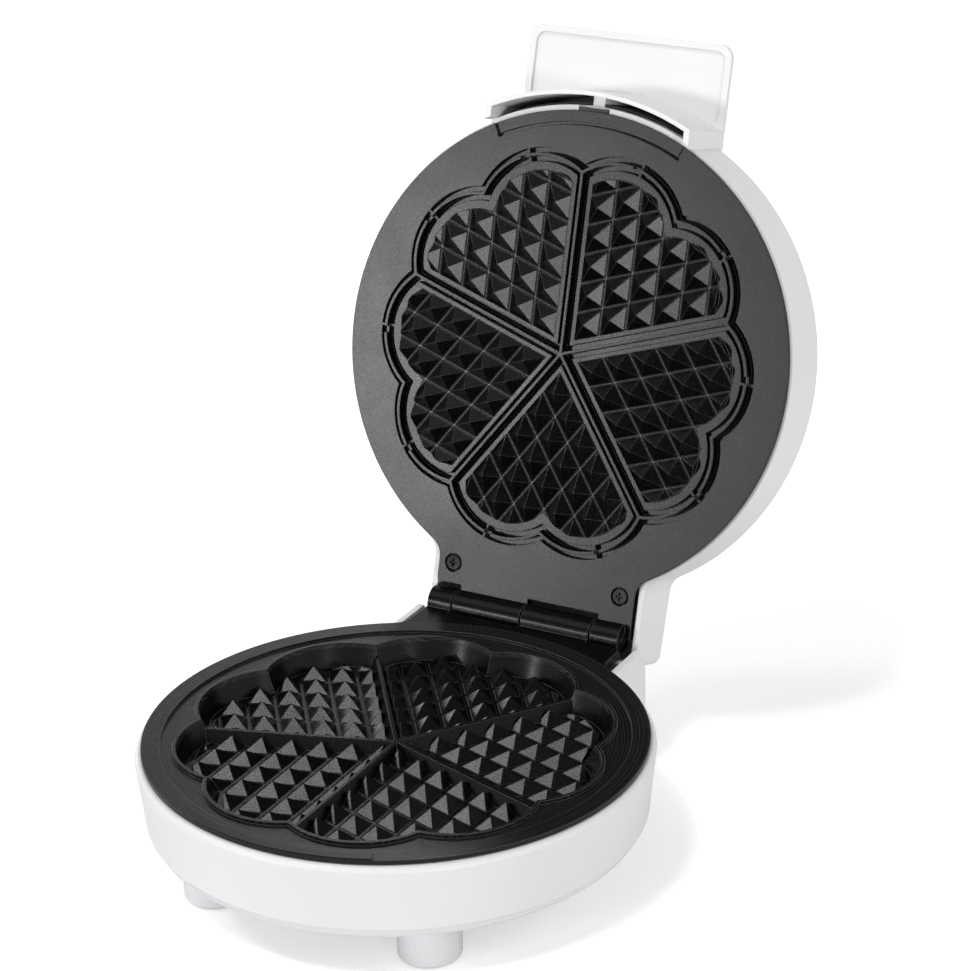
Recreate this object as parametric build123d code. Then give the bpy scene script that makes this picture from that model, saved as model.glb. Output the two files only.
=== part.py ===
from build123d import *
from math import atan, cos, degrees, radians, sin, sqrt, tan

import os

# Electric heart waffle maker, standing open. Millimetres.
#
# Everything is drawn closed, in the plates' frame: the origin is the centre of the baking plates
# at the height of the lower plate's face, +Y points to the hinge and +Z is up. The lid's pieces are
# then turned open about the hinge, and the whole is moved so that the origin is on the surface
# that the feet stand on, in the middle of the bounding box.

# ---------------------------------------------------------------- driving dimensions

# Lid and hinge
open_angle = 106.4
plate_gap = 0.5
hinge_y = 106.7
barrel_r = 6.0
pin_r = 2.0
pin_running_gap = 0.05
pin_end_setback = 1.0
knuckle_ends = (-43.5, -32.7, -1.9, 28.7, 41.0)
knuckle_gap = 0.8
hinge_air = 0.8

# Heart pattern, shared by both plates
heart_count = 5
lobe_orbit = 51.3
cell_side = 11.48
valley_width = 1.25
pyramid_flat = 0.3
pyramid_root = 0.4

# Lower plate
lower_plate_r = 94.0
lower_flange_t = 1.7
land_r = 87.0
land_depth = 1.2
lip_inner_lobe_r = 30.0
lip_width = 1.2
lip_rise = 0.2
pan_depth = 8.46
pan_wall_lean = 3.6
pan_wall_t = 3.5
pan_floor_t = 3.0
pan_floor_band = 2.2
lower_pyramid_h = 4.27
lower_lattice_start = -3.81
divider_rise = 5.06
divider_top_half = 0.6
divider_foot_half = 2.9
body_t = 4.0
guide_inner_r = 90.2
guide_half_angle = 25.0
guide_rise = 0.8

# Upper plate
upper_plate_r = 95.0
upper_flange_t = 1.8
upper_body_r = 91.0
upper_body_t = 4.5
border_outer_lobe_r = 30.2
outer_groove_w = 2.1
ridge_w = 1.2
inner_groove_w = 2.1
border_band_w = 3.4
groove_depth = 2.4
ridge_rise = 2.0
divider_ridge_half = 0.55
divider_groove_half = 2.6
divider_band_half = 4.4
upper_pyramid_h = 3.9
upper_lattice_start = 6.39
steam_gap = 2.6
steam_rib_w = 1.0
guide_recess_r = 89.3
guide_recess_half_angle = 25.8
guide_recess_depth = 0.8
guide_groove_w = 1.3
guide_groove_depth = 2.2
guide_end_depth = 1.3

# Plate tabs at the hinge
tab_half_width = 43.5
tab_rear_y = 98.7
tab_blend_r = 8.0
tab_corner_r = 2.0
plate_screw_x = 37.1
plate_screw_y = 90.4
plate_screw_head_r = 3.3
plate_screw_head_t = 1.8
plate_screw_shank_r = 1.75
plate_screw_length = 14.0
screw_recess_r = 3.8
hook_half_width = 6.2
hook_t = 1.6

# Lid shell
lid_rim_z = 2.5
lid_rim_r = 96.0
lid_draft = 2.4
lid_crown_z = 31.5
lid_crown_r = 1600.0
lid_edge_r = 4.0
lid_wall = 2.4
lid_tab_half = 46.6
lid_tab_rear_y = 118.0
lid_tab_corner_r = 3.0
lid_blend_r = 8.0
handle_half_width = 44.0
handle_front_y = -126.2
handle_under_z = 28.0
handle_t = 2.6
handle_corner_r = 5.5
handle_rim_w = 2.8
handle_panel_depth = 1.0
lip_outer_r = 102.8
lip_wall_t = 1.8
lip_bottom_z = -3.5
lip_end_wall_t = 2.5
lip_rib_w = 5.0
lip_rib_z = 6.5
lip_guard_t = 1.0
hook_notch_half = 6.7
hook_notch_depth = 3.0
boss_r = 4.5
pilot_r = 1.3

# Base shell, bottom cover and feet
base_rim_z = -2.0
base_rim_r = 96.5
base_edge_z = -28.0
base_edge_r = 93.7
base_rim_round = 2.2
base_wall = 2.5
base_opening_r = 91.5
housing_half = 49.6
housing_rear_y = 112.0
housing_shoulder_y = 104.5
housing_brow_y = 109.6
housing_shoulder_z = -18.5
housing_corner_r = 4.0
stop_gap = 0.3
trough_front_y = 96.0
lead_slot_half = 8.0
lead_slot_w = 5.0
cover_drop = 4.5
cover_step = 1.3
cover_round = 3.2
cover_wall = 2.5
cover_locating_rise = 2.0
cover_locating_gap = 0.4
vent_length = 26.0
vent_width = 3.0
vent_pitch = 9.0
vent_rows = 5
foot_r = 11.7
foot_height = 17.6
foot_round = 1.2
front_foot_x = 45.0
front_foot_y = -57.0
rear_foot_x = 31.0
rear_foot_y = 91.0
pad_r = 8.0
pad_t = 1.5
pad_proud = 0.5
foot_screw_head_r = 3.6
foot_screw_head_t = 2.4
foot_screw_shank_r = 1.9
foot_screw_length = 24.0
foot_screw_seat = 4.0
cord_hole_r = 3.2
cord_hole_drop = 4.2

# Fastening of the lower plate
post_orbit = 87.0
post_r = 4.0
post_length = 8.0
lug_t = 3.0
lug_half_width = 5.5

# Heaters, reflectors and controls
heater_r = 3.25
heater_ring_r = 50.0
heater_leg_x = 12.0
heater_bend_r = 10.0
heater_leg_end_y = 84.0
heater_pin_r = 1.5
heater_pin_length = 8.0
contact_gap = 0.1
reflector_r = 66.0
reflector_t = 1.0
reflector_hole_r = 14.0
reflector_post_orbit = 30.0
reflector_screw_length = 7.0
small_head_r = 3.0
small_head_t = 1.6
small_shank_r = 1.4
thermostat_r = 8.0
thermostat_h = 9.0
thermostat_ear_half = 15.0
thermostat_ear_w = 7.0
thermostat_ear_t = 1.0
thermostat_blade_w = 6.3
thermostat_blade_t = 0.8
thermostat_blade_length = 4.5
fuse_r = 2.0
fuse_length = 20.0
fuse_y = -46.0
fuse_strap_w = 6.0
fuse_strap_t = 0.8
block_size = (22.0, 13.0, 9.0)
block_y = 84.0
block_bore_r = 2.0
block_bore_pitch = 11.0
lens_spacing = 24.0
lens_y = -40.0
lens_r = 3.4
lens_gap = 0.1
lens_proud = 0.9
lens_flange_r = 5.0
lens_flange_t = 1.2
lamp_r = 2.4
lamp_length = 9.0
holder_wall = 1.4

# ---------------------------------------------------------------- derived values

hinge_z = plate_gap / 2
heart_step = 360 / heart_count
half_heart = heart_step / 2
lobe_step = heart_step / 2
lobe_angle = lobe_step / 2
pan_floor_z = -pan_depth
pan_bottom_z = pan_floor_z - pan_floor_t
lip_outer_lobe_r = lip_inner_lobe_r + lip_width
pan_floor_lobe_r = lip_inner_lobe_r - pan_wall_lean
pan_outer_lobe_r = lip_inner_lobe_r + pan_wall_t
upper_face_z = plate_gap
upper_back_z = upper_face_z + upper_body_t
ridge_outer_lobe_r = border_outer_lobe_r - outer_groove_w
ridge_inner_lobe_r = ridge_outer_lobe_r - ridge_w
band_outer_lobe_r = ridge_inner_lobe_r - inner_groove_w
band_inner_lobe_r = band_outer_lobe_r - border_band_w
cover_bottom_z = base_edge_z - cover_drop
floor_z = cover_bottom_z - foot_height - pad_proud
ridge_tip_r = lobe_orbit + (ridge_inner_lobe_r + ridge_outer_lobe_r) / 2


def polar(radius, angle):
    """Point at a radius and an angle from the front (-Y), counted towards +X."""
    return (radius * sin(radians(angle)), -radius * cos(radians(angle)))


def facing(angle):
    """Rotation that turns a form drawn along +X to an angle from the front."""
    return Rot(0, 0, angle - 90)


def disc(radius, low, high):
    """Round slab about the Z axis between two heights."""
    return Pos(0, 0, low) * Cylinder(radius, high - low, align=(Align.CENTER, Align.CENTER, Align.MIN))


def peg(x, y, radius, low, high):
    """Upright cylinder at a place, between two heights."""
    return Pos(x, y, 0) * disc(radius, low, high)


def slab(x, y, z):
    """Box between pairs of limits along each axis."""
    size = (x[1] - x[0], y[1] - y[0], z[1] - z[0])
    return Pos(x[0], y[0], z[0]) * Box(*size, align=(Align.MIN, Align.MIN, Align.MIN))


def prism(sketch, low, high):
    """Sketch in the XY plane, extruded between two heights."""
    return extrude(Pos(0, 0, low) * sketch, amount=high - low)


def across(points, half_width):
    """Profile of (y, z) points, extruded the same way along +X and -X."""
    face = make_face(Polyline([(0, y, z) for y, z in points], close=True))
    return extrude(face, amount=half_width, dir=(1, 0, 0), both=True)


def sector(inner_r, outer_r, half_angle, low, high):
    """Part of a ring about the Z axis, centred on the front."""
    reach = 2 * outer_r
    edge = reach * tan(radians(half_angle))
    wedge = make_face(Polyline([(0, 0), (edge, -reach), (-edge, -reach)], close=True))
    ring = Circle(outer_r) - Circle(inner_r)
    return prism(ring & wedge, low, high)


def moved_all(parts, place):
    """The same placement given to every part of a dictionary."""
    return {name: place * part for name, part in parts.items()}


# ---------------------------------------------------------------- heart pattern


def flower(lobe_r):
    """Ten-lobed outline, two lobes to a heart."""
    outline = Circle(lobe_orbit)
    for index in range(2 * heart_count):
        outline += Pos(*polar(lobe_orbit, lobe_angle + index * lobe_step)) * Circle(lobe_r)
    return outline


def wedge_of_heart(edge_gap):
    """One heart's share of the plate, along +X, kept an edge gap away from both dividers."""
    start = edge_gap / sin(radians(half_heart))
    reach = 2 * upper_plate_r
    side = reach * tan(radians(half_heart))
    return make_face(Polyline([(start, 0), (start + reach, -side), (start + reach, side)], close=True))


def rhombus(side):
    """Cell of the waffle lattice, with its long diagonal along +X."""
    half_x = side * cos(radians(half_heart))
    half_y = side * sin(radians(half_heart))
    return make_face(Polyline([(half_x, 0), (0, half_y), (-half_x, 0), (0, -half_y)], close=True))


def pyramid(height):
    """Waffle pyramid standing on z = 0, with a root that sinks into the plate."""
    foot = cell_side - valley_width / sin(radians(heart_step))
    slope = (foot - pyramid_flat) / height
    root = foot + slope * pyramid_root
    return loft([Pos(0, 0, -pyramid_root) * rhombus(root), Pos(0, 0, height) * rhombus(pyramid_flat)], ruled=True)


def heart_pyramids(height, lattice_start, edge_gap, field_lobe_r):
    """Pyramids of the heart along +X, cut off at the edge of its field."""
    one = pyramid(height)
    cell_x = cell_side * cos(radians(half_heart))
    cell_y = cell_side * sin(radians(half_heart))
    field = (Rot(0, 0, 90 - half_heart) * flower(field_lobe_r)) & wedge_of_heart(edge_gap)
    reach_x = lobe_orbit + field_lobe_r
    count = int(reach_x / cell_side) + 1
    cells = []
    for i in range(count):
        for j in range(count):
            x = lattice_start + (i + j + 1) * cell_x
            y = (j - i) * cell_y
            if x < reach_x:
                cells.append(Pos(x, y, 0) * one)
    trimmed = (Part() + cells) & prism(field, -pyramid_root, height)
    return [solid for solid in trimmed.solids() if solid.bounding_box().max.Z > pyramid_root]


def around(pieces, first_angle):
    """Pieces drawn along +X, repeated once for each heart."""
    return [facing(first_angle + index * heart_step) * piece for index in range(heart_count) for piece in pieces]


# ---------------------------------------------------------------- hinge


def knuckle(index):
    """Ends of one knuckle along X, with its share of the gaps to its neighbours."""
    last = len(knuckle_ends) - 2
    low = knuckle_ends[index] + (knuckle_gap / 2 if index > 0 else 0)
    high = knuckle_ends[index + 1] - (knuckle_gap / 2 if index < last else 0)
    return low, high


def barrel(low, high, radius):
    """Cylinder on the hinge axis between two places along X."""
    return Pos(low, hinge_y, hinge_z) * Rot(0, 90, 0) * disc(radius, 0, high - low)


def knuckles(indexes, web_z):
    """Hinge barrels with the webs that carry them on a plate's tab."""
    made = []
    for index in indexes:
        low, high = knuckle(index)
        made.append(barrel(low, high, barrel_r))
        made.append(slab((low, high), (tab_rear_y - tab_corner_r, hinge_y), web_z))
    return made


def plate_outline(radius, rear_y):
    """Round plate with its hinge tab, blended where the tab leaves the circle."""
    tab = Pos(0, rear_y / 2) * Rectangle(2 * tab_half_width, rear_y)
    outline = Circle(radius) + tab
    meet_y = sqrt(radius**2 - tab_half_width**2)
    inner = [v for v in outline.vertices() if abs(v.Y - meet_y) < 0.01]
    outline = fillet(inner, tab_blend_r)
    outer = [v for v in outline.vertices() if abs(v.Y - rear_y) < 0.01]
    return fillet(outer, tab_corner_r)


# ---------------------------------------------------------------- baking plates


def make_lower_plate():
    """Deep die-cast plate with the five heart pans and the first and third knuckle."""
    plate = prism(plate_outline(lower_plate_r, tab_rear_y), -lower_flange_t, 0)
    inner = (Circle(base_opening_r - hinge_air) + Pos(0, tab_rear_y / 2) * Rectangle(2 * tab_half_width, tab_rear_y))
    plate += prism(inner, -body_t, -lower_flange_t)
    plate += prism(flower(pan_outer_lobe_r), pan_bottom_z, -land_depth)
    plate -= disc(land_r, -land_depth, 0)
    plate += prism(flower(lip_outer_lobe_r), -land_depth, lip_rise)
    plate += sector(guide_inner_r, lower_plate_r, guide_half_angle, 0, guide_rise)

    lobe_top_z = lip_rise
    lobe = Pos(0, 0, pan_floor_z) * Cone(
        pan_floor_lobe_r,
        lip_inner_lobe_r,
        lobe_top_z - pan_floor_z,
        align=(Align.CENTER, Align.CENTER, Align.MIN),
    )
    pan = disc(lobe_orbit, pan_floor_z, lobe_top_z)
    for index in range(2 * heart_count):
        pan += Pos(*polar(lobe_orbit, lobe_angle + index * lobe_step)) * lobe
    plate -= pan

    divider_top_z = pan_floor_z + divider_rise
    divider_end = lobe_orbit + pan_floor_lobe_r - lip_width
    root_z = pan_floor_z - pyramid_root
    profile = [
        (-divider_foot_half, root_z),
        (divider_foot_half, root_z),
        (divider_foot_half, pan_floor_z),
        (divider_top_half, divider_top_z),
        (-divider_top_half, divider_top_z),
        (-divider_foot_half, pan_floor_z),
    ]
    face = make_face(Polyline([(0, y, z) for y, z in profile], close=True))
    divider = extrude(face, amount=divider_end, dir=(1, 0, 0))
    pyramids = heart_pyramids(
        lower_pyramid_h, lower_lattice_start, divider_foot_half, pan_floor_lobe_r - pan_floor_band
    )
    plate += around([divider], 0) + [Pos(0, 0, pan_floor_z) * solid for solid in around(pyramids, half_heart)]

    for x, y in lower_post_places():
        plate += peg(x, y, post_r, -body_t - post_length, -body_t)
        plate -= peg(x, y, pilot_r, -body_t - post_length, -body_t)
    for x, y in reflector_post_places():
        plate += peg(x, y, post_r, lower_reflector_z(), pan_bottom_z)
        plate -= peg(x, y, pilot_r, lower_reflector_z(), pan_bottom_z)
    for side in (-1, 1):
        x = side * (thermostat_ear_half - small_head_r)
        plate -= peg(x, 0, small_shank_r, pan_bottom_z, pan_bottom_z + pan_floor_t / 2)
    plate += knuckles((0, 2), (-body_t, 0))
    return plate - barrel(knuckle_ends[0], knuckle_ends[-1], pin_r + pin_running_gap)


def make_upper_plate():
    """Plate of the lid: proud pyramids inside a ridge that seats in the pans' mouth."""
    flange_z = upper_face_z + upper_flange_t
    plate = prism(plate_outline(upper_plate_r, tab_rear_y), upper_face_z, flange_z)
    tab = Pos(0, tab_rear_y / 2) * Rectangle(2 * tab_half_width, tab_rear_y)
    plate += prism(Circle(upper_body_r), flange_z, upper_back_z)
    plate += prism(tab, flange_z, upper_face_z + body_t)
    hook_low = lid_rim_z + contact_gap
    plate += slab(
        (-hook_half_width, hook_half_width), (-lid_rim_r, -upper_body_r / 2), (hook_low, hook_low + hook_t)
    )

    groove_z = upper_face_z + groove_depth
    grooves = flower(border_outer_lobe_r) - flower(ridge_outer_lobe_r)
    grooves += flower(ridge_inner_lobe_r) - flower(band_outer_lobe_r)
    spoke = Pos(lobe_orbit, 0) * Rectangle(2 * lobe_orbit, 2 * divider_groove_half)
    inside = flower(ridge_inner_lobe_r)
    for index in range(heart_count):
        grooves += (facing(index * heart_step) * spoke) & inside
    plate -= prism(grooves, upper_face_z, groove_z)

    ridge_z = upper_face_z - ridge_rise
    ridge = flower(ridge_outer_lobe_r) - flower(ridge_inner_lobe_r)
    gap = Pos(ridge_tip_r, -steam_gap / 2 - steam_rib_w / 2) * Rectangle(4 * ridge_w, steam_gap)
    for index in range(2 * heart_count):
        ridge -= facing(lobe_angle + index * lobe_step) * gap
    thin = Pos(lobe_orbit, 0) * Rectangle(2 * lobe_orbit, 2 * divider_ridge_half)
    for index in range(heart_count):
        ridge += (facing(index * heart_step) * thin) & inside
    plate += prism(ridge, ridge_z, groove_z)

    rib_low = lobe_orbit + band_outer_lobe_r - steam_rib_w
    rib_high = lobe_orbit + border_outer_lobe_r
    rib = slab((rib_low, rib_high), (-steam_rib_w / 2, steam_rib_w / 2), (upper_face_z, groove_z))
    for index in range(2 * heart_count):
        plate += facing(lobe_angle + index * lobe_step) * rib

    pyramids = heart_pyramids(upper_pyramid_h, upper_lattice_start, divider_band_half, band_inner_lobe_r)
    hang = Pos(0, 0, upper_face_z) * Rot(0, 180, 0)
    plate += [hang * solid for solid in around(pyramids, half_heart)]

    plate -= guide_recess()
    for side in (-1, 1):
        x = side * plate_screw_x
        plate -= peg(x, plate_screw_y, screw_recess_r, upper_face_z, upper_face_z + plate_screw_head_t)
        plate -= peg(x, plate_screw_y, plate_screw_shank_r + contact_gap, upper_face_z, upper_back_z)
    for x, y in reflector_post_places():
        plate += peg(x, y, post_r, upper_back_z, upper_reflector_z())
        plate -= peg(x, y, pilot_r, upper_back_z, upper_reflector_z())
    plate += knuckles((1, 3), (upper_face_z, upper_face_z + body_t))
    ear_low = knuckle(3)[1] - barrel_r
    plate += slab(
        (ear_low, tab_half_width), (tab_rear_y - 2 * tab_corner_r, hinge_y), (upper_face_z, upper_face_z + body_t)
    )
    return plate - barrel(knuckle_ends[0], knuckle_ends[-1], pin_r + pin_running_gap)


def guide_recess():
    """Recess for the lower plate's guide, with a deeper groove along its inner arc and ends."""
    outer = 2 * upper_plate_r
    half = guide_recess_half_angle
    low = upper_face_z
    groove_outer = guide_recess_r + guide_groove_w
    cut = sector(guide_recess_r, outer, half, low, low + guide_recess_depth)
    cut += sector(guide_recess_r, groove_outer, half, low, low + guide_groove_depth)
    floor_half = half - degrees(guide_groove_w / guide_recess_r)
    ends = sector(guide_recess_r, outer, half, low, low + guide_end_depth)
    return cut + (ends - sector(guide_recess_r / 2, 2 * outer, floor_half, low, low + guide_end_depth))


def lower_post_places():
    """Posts under the lower plate, at the clefts and corners of the hearts, clear of the pans."""
    return [polar(post_orbit, angle) for angle in (half_heart, 2 * heart_step, 3 * heart_step, 360 - half_heart)]


def reflector_post_places():
    """Posts that carry a reflector, inside the ring of the heater."""
    return [polar(reflector_post_orbit, angle) for angle in (0, 120, 240)]


# ---------------------------------------------------------------- heaters and reflectors


def lower_reflector_z():
    """Upper face of the lower reflector, under the heater."""
    return pan_bottom_z - 2 * heater_r - 2 * contact_gap


def upper_reflector_z():
    """Lower face of the upper reflector, above the heater."""
    return upper_back_z + 2 * heater_r + 2 * contact_gap


def make_heater(centre_z):
    """Tubular element bent to an open ring, with both ends led to the rear."""
    bend_x = heater_leg_x + heater_bend_r
    bend_y = sqrt((heater_ring_r + heater_bend_r) ** 2 - bend_x**2)
    share = heater_ring_r / (heater_ring_r + heater_bend_r)
    meet = Vector(bend_x * share, bend_y * share)
    turn = radians(degrees(atan(bend_y / bend_x)) / 2)
    middle = Vector(bend_x - heater_bend_r * cos(turn), bend_y - heater_bend_r * sin(turn))
    leg_end = Vector(heater_leg_x, heater_leg_end_y)
    leg_start = Vector(heater_leg_x, bend_y)

    def mirrored(point):
        return Vector(-point.X, point.Y)

    path = Line(leg_end, leg_start)
    path += ThreePointArc(leg_start, middle, meet)
    path += ThreePointArc(meet, Vector(0, -heater_ring_r), mirrored(meet))
    path += ThreePointArc(mirrored(meet), mirrored(middle), mirrored(leg_start))
    path += Line(mirrored(leg_start), mirrored(leg_end))
    tube = sweep(Plane(origin=leg_end, z_dir=(0, -1, 0)) * Circle(heater_r), path=path)
    for side in (-1, 1):
        tube += Pos(side * heater_leg_x, heater_leg_end_y, 0) * Rot(-90, 0, 0) * disc(heater_pin_r, 0, heater_pin_length)
    return Pos(0, 0, centre_z) * tube


def make_reflector(low):
    """Sheet-steel disc that clamps a heater to its plate and turns the heat back."""
    sheet = disc(reflector_r, low, low + reflector_t) - disc(reflector_hole_r, low, low + reflector_t)
    for x, y in reflector_post_places():
        sheet -= peg(x, y, small_shank_r + contact_gap, low, low + reflector_t)
    leg_gap = heater_leg_x + heater_r
    return sheet - slab((-leg_gap, leg_gap), (heater_ring_r + heater_bend_r, reflector_r), (low, low + reflector_t))


def screw(head_r, head_t, shank_r, length):
    """Pan-head screw with a cross recess, head down on z = 0 and shank up along +Z."""
    head = disc(head_r, -head_t, 0)
    head = fillet(head.edges().sort_by(Axis.Z)[0], head_t / 3)
    slot_w = head_r / 4
    cross = slab((-head_r / 2, head_r / 2), (-slot_w / 2, slot_w / 2), (-head_t, -head_t / 2))
    return head + disc(shank_r, 0, length) - cross - Rot(0, 0, 90) * cross


def make_thermostat():
    """Bimetal thermostat under the middle of the lower plate, with its mounting ears."""
    low = pan_bottom_z - thermostat_h
    body = disc(thermostat_r, low, pan_bottom_z - contact_gap)
    ear_z = pan_bottom_z - contact_gap - thermostat_ear_t
    ears = Rectangle(2 * thermostat_ear_half, thermostat_ear_w)
    body += prism(fillet(ears.vertices(), thermostat_ear_w / 3), ear_z, ear_z + thermostat_ear_t)
    for side in (-1, 1):
        x = side * (thermostat_ear_half - small_head_r)
        body -= peg(x, 0, small_shank_r + contact_gap, ear_z, ear_z + thermostat_ear_t)
        x = side * thermostat_r / 2
        half_w, half_t = thermostat_blade_w / 2, thermostat_blade_t / 2
        body += slab((x - half_w, x + half_w), (-half_t, half_t), (low - thermostat_blade_length, low))
    return body


# ---------------------------------------------------------------- lid


def lid_outline(inset):
    """Round lid with its rear tab, seen from above, drawn in by a wall thickness."""
    half = lid_tab_half - inset
    rear = lid_tab_rear_y - inset
    radius = lid_rim_r - inset
    outline = Circle(radius) + Pos(0, rear / 2) * Rectangle(2 * half, rear)
    meet_y = sqrt(radius**2 - half**2)
    outline = fillet([v for v in outline.vertices() if abs(v.Y - meet_y) < 0.01], lid_blend_r)
    return fillet([v for v in outline.vertices() if abs(v.Y - rear) < 0.01], lid_tab_corner_r)


def lid_form(inset):
    """Drafted lid with a shallow crown and rounded upper edge, drawn in by a wall thickness."""
    crown = lid_crown_z - inset
    block = extrude(Pos(0, 0, lid_rim_z) * lid_outline(inset), amount=crown, taper=-lid_draft)
    dome = Pos(0, 0, crown - lid_crown_r) * Sphere(lid_crown_r)
    form = block & dome
    top = form.faces().sort_by(Axis.Z)[-1]
    return fillet(top.edges(), lid_edge_r - inset / 2)


def handle_outline(inset, front_inset):
    """Handle tongue seen from above, reaching back over the lid."""
    half = handle_half_width - inset
    front = handle_front_y + front_inset
    rear = -lid_rim_r / 2
    box = Pos(0, (front + rear) / 2) * Rectangle(2 * half, rear - front)
    corners = [v for v in box.vertices() if abs(v.Y - front) < 0.01]
    return fillet(corners, handle_corner_r - inset / 2)


def lip_band(inner_r, outer_r, half_width, low, high):
    """Part of a ring in front of the lid, cut off square at both ends, between two heights."""
    front = Pos(0, -outer_r / 2) * Rectangle(2 * half_width, outer_r)
    return prism((Circle(outer_r) - Circle(inner_r)) & front, low, high)


def lip_wall_r():
    """Radius of the drafted lid under the handle, where the lip's hollow starts."""
    return lid_rim_r + tan(radians(lid_draft)) * (handle_under_z - lid_rim_z)


def make_lid_shell():
    """White lid: shell, handle tongue, hanging lip with its hollow, hinge tab and screw bosses."""
    handle_top = handle_under_z + handle_t
    shell = lid_form(0)
    tongue = prism(handle_outline(0, 0), handle_under_z, handle_top)
    tongue = fillet(tongue.edges().filter_by(Plane.XY).group_by(Axis.Z)[-1], handle_t / 4)
    shell += tongue
    lip = lip_band(lid_rim_r, lip_outer_r, handle_half_width, lip_bottom_z, handle_under_z + handle_t / 2)
    lip -= disc(base_rim_r + hinge_air, lip_bottom_z, lid_rim_z)
    shell += lip

    panel = handle_outline(handle_rim_w, handle_rim_w)
    panel -= Circle(lip_outer_r)
    panel_corners = [v for v in panel.vertices() if v.Y > handle_front_y + handle_rim_w + handle_corner_r]
    panel = fillet(panel_corners, handle_rim_w)
    shell -= prism(panel, handle_under_z, handle_under_z + handle_panel_depth)

    hollow_r = lip_outer_r - lip_wall_t
    hollow = lip_band(lip_wall_r(), hollow_r, handle_half_width - lip_end_wall_t, lip_bottom_z, handle_under_z)
    half_rib = lip_rib_w / 2
    hollow -= slab((-half_rib, half_rib), (-lip_outer_r, 0), (lip_rib_z, handle_under_z))
    shell -= hollow

    shell -= lid_form(lid_wall)
    notch = (-hook_notch_half, hook_notch_half)
    shell -= slab(notch, (-hollow_r, 0), (lid_rim_z, lid_rim_z + hook_notch_depth))
    for side in (-1, 1):
        place = (side * plate_screw_x, plate_screw_y)
        boss_z = upper_face_z + body_t
        shell += peg(*place, boss_r, boss_z, lid_crown_z - 2 * lid_wall)
        shell -= peg(*place, pilot_r, boss_z, boss_z + plate_screw_length)
        x = side * lens_spacing / 2
        shell -= peg(x, lens_y, lens_r + lens_gap, lid_crown_z / 2, lid_crown_z)
    return shell


def make_lip_guard():
    """Black heat guard in the lip's hollow: a wall and a ceiling on each side of the rib."""
    inner = lip_wall_r() + contact_gap
    outer = lip_outer_r - lip_wall_t - contact_gap
    half = handle_half_width - lip_end_wall_t - contact_gap
    guard = lip_band(inner, outer, half, lip_rib_z, handle_under_z)
    guard -= lip_band(inner + lip_guard_t, 2 * outer, half, lip_rib_z, handle_under_z - lip_guard_t)
    rib = lip_rib_w / 2 + contact_gap
    return guard - slab((-rib, rib), (-outer, 0), (lip_rib_z, handle_under_z))


def make_lens():
    """Indicator lens: a round window with a flange behind the lid's top wall."""
    under_z = lens_under_z()
    top_z = under_z + lid_wall + lens_proud
    window = disc(lens_r, under_z, top_z)
    window = fillet(window.edges().sort_by(Axis.Z)[-1], lens_r / 4)
    return window + disc(lens_flange_r, under_z - lens_flange_t, under_z)


def lens_under_z():
    """Height under the lid's top wall where the lenses are, a little clear of its crown."""
    crown = lid_crown_z - lid_wall
    away = sqrt(lens_y**2 + (lens_spacing / 2 + lens_flange_r) ** 2) + lens_flange_r
    return crown - away**2 / (2 * lid_crown_r) - contact_gap


def make_lamp_holder():
    """Moulded block behind the lenses with a socket for each lamp."""
    top = lens_under_z() - lens_flange_t
    half_x = lens_spacing / 2 + lens_flange_r
    half_y = lens_flange_r
    block = slab((-half_x, half_x), (lens_y - half_y, lens_y + half_y), (top - lamp_length - holder_wall, top))
    for side in (-1, 1):
        block -= peg(side * lens_spacing / 2, lens_y, lamp_r + contact_gap, top - lamp_length, top)
    return block


# ---------------------------------------------------------------- base


def deck_z(y, below):
    """Height of the housing's deck, parallel to the lid's rear wall when the lid is open."""
    reach = lid_tab_rear_y - hinge_y + stop_gap + below
    turn = radians(open_angle)
    return hinge_z - (reach + cos(turn) * (hinge_y - y)) / sin(turn)


def housing_profile(inset):
    """Side view of the hinge housing behind the round base, with its falling shoulder."""
    rear = housing_rear_y - inset
    return [
        (0, base_rim_z - inset),
        (housing_shoulder_y - inset, base_rim_z - inset),
        (housing_brow_y - inset, deck_z(housing_brow_y, 0) - inset / 2),
        (rear, housing_shoulder_z - inset / 2),
        (rear, base_edge_z),
        (0, base_edge_z),
    ]


def base_form(inset):
    """Drafted round base with the hinge housing, drawn in by a wall thickness."""
    depth = base_rim_z - base_edge_z
    drum = Pos(0, 0, base_edge_z) * Cone(
        base_edge_r - inset, base_rim_r - inset, depth, align=(Align.CENTER, Align.CENTER, Align.MIN)
    )
    housing = across(housing_profile(inset), housing_half - inset)
    upright = [e for e in housing.edges().filter_by(Axis.Z) if e.center().Y > hinge_y]
    return drum, fillet(upright, housing_corner_r - inset)


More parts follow.
